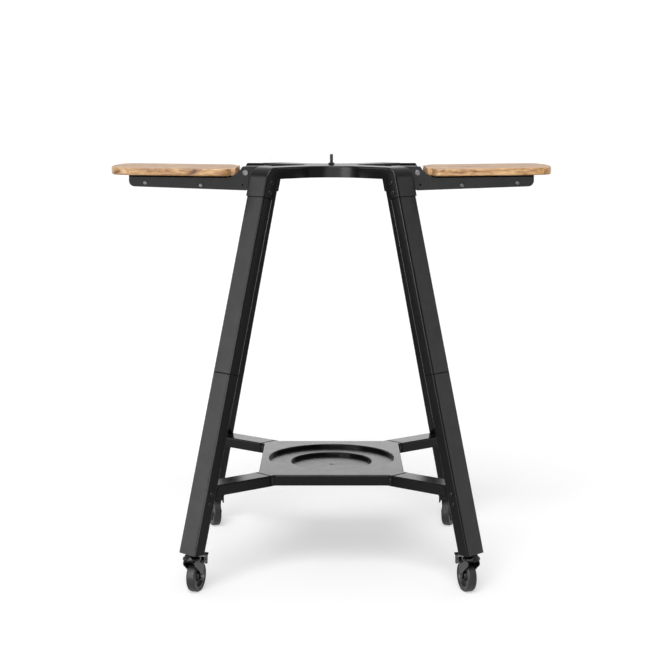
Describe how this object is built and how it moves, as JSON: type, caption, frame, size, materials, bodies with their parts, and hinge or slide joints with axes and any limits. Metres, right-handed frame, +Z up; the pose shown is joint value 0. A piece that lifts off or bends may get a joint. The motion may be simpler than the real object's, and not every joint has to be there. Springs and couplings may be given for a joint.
{
  "type": "outdoor pizza oven table",
  "caption": "Rolling outdoor oven stand: pressed steel X on splayed tube legs, gas bottle shelf, fold-down wooden side tables, braked casters.",
  "frame": {"origin": "on the floor, under the centre stud", "axes": "+Z up, +X to the right of someone who faces the front, +Y towards the rear; the side tables stand out along -X and +X"},
  "size_m": [1.079, 0.7172, 1.022],
  "materials": {
    "frame_paint": "satin black powder coat",
    "board_wood": "oiled hardwood strips",
    "fastener_steel": "dark zinc plated",
    "stud_steel": "black oxide",
    "caster_paint": "semi-gloss black",
    "hub_plastic": "moulded dark grey",
    "tyre_rubber": "dark grey rubber",
    "plug_plastic": "moulded black"
  },
  "bodies": {
    "frame": {"top_frame": "frame_paint", "centre_stud": "stud_steel", "stud_nuts": "stud_steel", "shelf_tray": "frame_paint", "frame_screws": "fastener_steel", "leg_joiners": "frame_paint", "leg_brackets": "frame_paint", "rear_right_upper_leg": "frame_paint", "rear_right_lower_leg": "frame_paint", "rear_right_foot_plug": "plug_plastic", "rear_right_shelf_arm": "frame_paint", "rear_right_caster_stem": "caster_paint", "rear_left_upper_leg": "frame_paint", "rear_left_lower_leg": "frame_paint", "rear_left_foot_plug": "plug_plastic", "rear_left_shelf_arm": "frame_paint", "rear_left_caster_stem": "caster_paint", "front_right_upper_leg": "frame_paint", "front_right_lower_leg": "frame_paint", "front_right_foot_plug": "plug_plastic", "front_right_shelf_arm": "frame_paint", "front_right_caster_stem": "caster_paint", "front_left_upper_leg": "frame_paint", "front_left_lower_leg": "frame_paint", "front_left_foot_plug": "plug_plastic", "front_left_shelf_arm": "frame_paint", "front_left_caster_stem": "caster_paint", "right_hinge_bracket": "frame_paint", "right_pivot_bolts": "fastener_steel", "left_hinge_bracket": "frame_paint", "left_pivot_bolts": "fastener_steel"},
    "right_side_table": {"right_table_board": "board_wood", "right_table_pan": "frame_paint", "right_table_braces": "frame_paint", "right_table_fasteners": "fastener_steel"},
    "left_side_table": {"left_table_board": "board_wood", "left_table_pan": "frame_paint", "left_table_braces": "frame_paint", "left_table_fasteners": "fastener_steel"},
    "rear_right_swivel": {"rear_right_caster_fork": "caster_paint", "rear_right_caster_axle": "fastener_steel"},
    "rear_right_wheel": {"rear_right_wheel_hub": "hub_plastic", "rear_right_tyre": "tyre_rubber"},
    "rear_right_pedal": {"rear_right_brake_pedal": "caster_paint"},
    "rear_left_swivel": {"rear_left_caster_fork": "caster_paint", "rear_left_caster_axle": "fastener_steel"},
    "rear_left_wheel": {"rear_left_wheel_hub": "hub_plastic", "rear_left_tyre": "tyre_rubber"},
    "rear_left_pedal": {"rear_left_brake_pedal": "caster_paint"},
    "front_right_swivel": {"front_right_caster_fork": "caster_paint", "front_right_caster_axle": "fastener_steel"},
    "front_right_wheel": {"front_right_wheel_hub": "hub_plastic", "front_right_tyre": "tyre_rubber"},
    "front_right_pedal": {"front_right_brake_pedal": "caster_paint"},
    "front_left_swivel": {"front_left_caster_fork": "caster_paint", "front_left_caster_axle": "fastener_steel"},
    "front_left_wheel": {"front_left_wheel_hub": "hub_plastic", "front_left_tyre": "tyre_rubber"},
    "front_left_pedal": {"front_left_brake_pedal": "caster_paint"}
  },
  "joints": [
    {"name": "right_table_fold", "type": "hinge", "parent": "frame", "child": "right_side_table", "pos_m": [0.20669, 0, 0.9806], "axis": [0, 1, 0], "range_deg": [0, 88.5]},
    {"name": "left_table_fold", "type": "hinge", "parent": "frame", "child": "left_side_table", "pos_m": [-0.20669, 0, 0.9806], "axis": [0, -1, 0], "range_deg": [0, 88.5]},
    {"name": "rear_right_caster_swivel", "type": "hinge", "parent": "frame", "child": "rear_right_swivel", "pos_m": [0.32831, 0.32831, 0.09], "axis": [0, 0, 1], "continuous": true},
    {"name": "rear_right_wheel_spin", "type": "hinge", "parent": "rear_right_swivel", "child": "rear_right_wheel", "pos_m": [0.32069, 0.30555, 0.0375], "axis": [0.9483, -0.3173, 0], "continuous": true},
    {"name": "rear_right_brake_pedal_tip", "type": "hinge", "parent": "rear_right_swivel", "child": "rear_right_pedal", "pos_m": [0.3172, 0.29512, 0.0775], "axis": [0.9483, -0.3173, 0], "range_deg": [0, 6]},
    {"name": "rear_left_caster_swivel", "type": "hinge", "parent": "frame", "child": "rear_left_swivel", "pos_m": [-0.32831, 0.32831, 0.09], "axis": [0, 0, 1], "continuous": true},
    {"name": "rear_left_wheel_spin", "type": "hinge", "parent": "rear_left_swivel", "child": "rear_left_wheel", "pos_m": [-0.32069, 0.30555, 0.0375], "axis": [0.9483, 0.3173, 0], "continuous": true},
    {"name": "rear_left_brake_pedal_tip", "type": "hinge", "parent": "rear_left_swivel", "child": "rear_left_pedal", "pos_m": [-0.3172, 0.29512, 0.0775], "axis": [0.9483, 0.3173, 0], "range_deg": [0, 6]},
    {"name": "front_right_caster_swivel", "type": "hinge", "parent": "frame", "child": "front_right_swivel", "pos_m": [0.32831, -0.32831, 0.09], "axis": [0, 0, 1], "continuous": true},
    {"name": "front_right_wheel_spin", "type": "hinge", "parent": "front_right_swivel", "child": "front_right_wheel", "pos_m": [0.32069, -0.30555, 0.0375], "axis": [-0.9483, -0.3173, 0], "continuous": true},
    {"name": "front_right_brake_pedal_tip", "type": "hinge", "parent": "front_right_swivel", "child": "front_right_pedal", "pos_m": [0.3172, -0.29512, 0.0775], "axis": [-0.9483, -0.3173, 0], "range_deg": [0, 6]},
    {"name": "front_left_caster_swivel", "type": "hinge", "parent": "frame", "child": "front_left_swivel", "pos_m": [-0.32831, -0.32831, 0.09], "axis": [0, 0, 1], "continuous": true},
    {"name": "front_left_wheel_spin", "type": "hinge", "parent": "front_left_swivel", "child": "front_left_wheel", "pos_m": [-0.32069, -0.30555, 0.0375], "axis": [-0.9483, 0.3173, 0], "continuous": true},
    {"name": "front_left_brake_pedal_tip", "type": "hinge", "parent": "front_left_swivel", "child": "front_left_pedal", "pos_m": [-0.3172, -0.29512, 0.0775], "axis": [-0.9483, 0.3173, 0], "range_deg": [0, 6]}
  ]
}
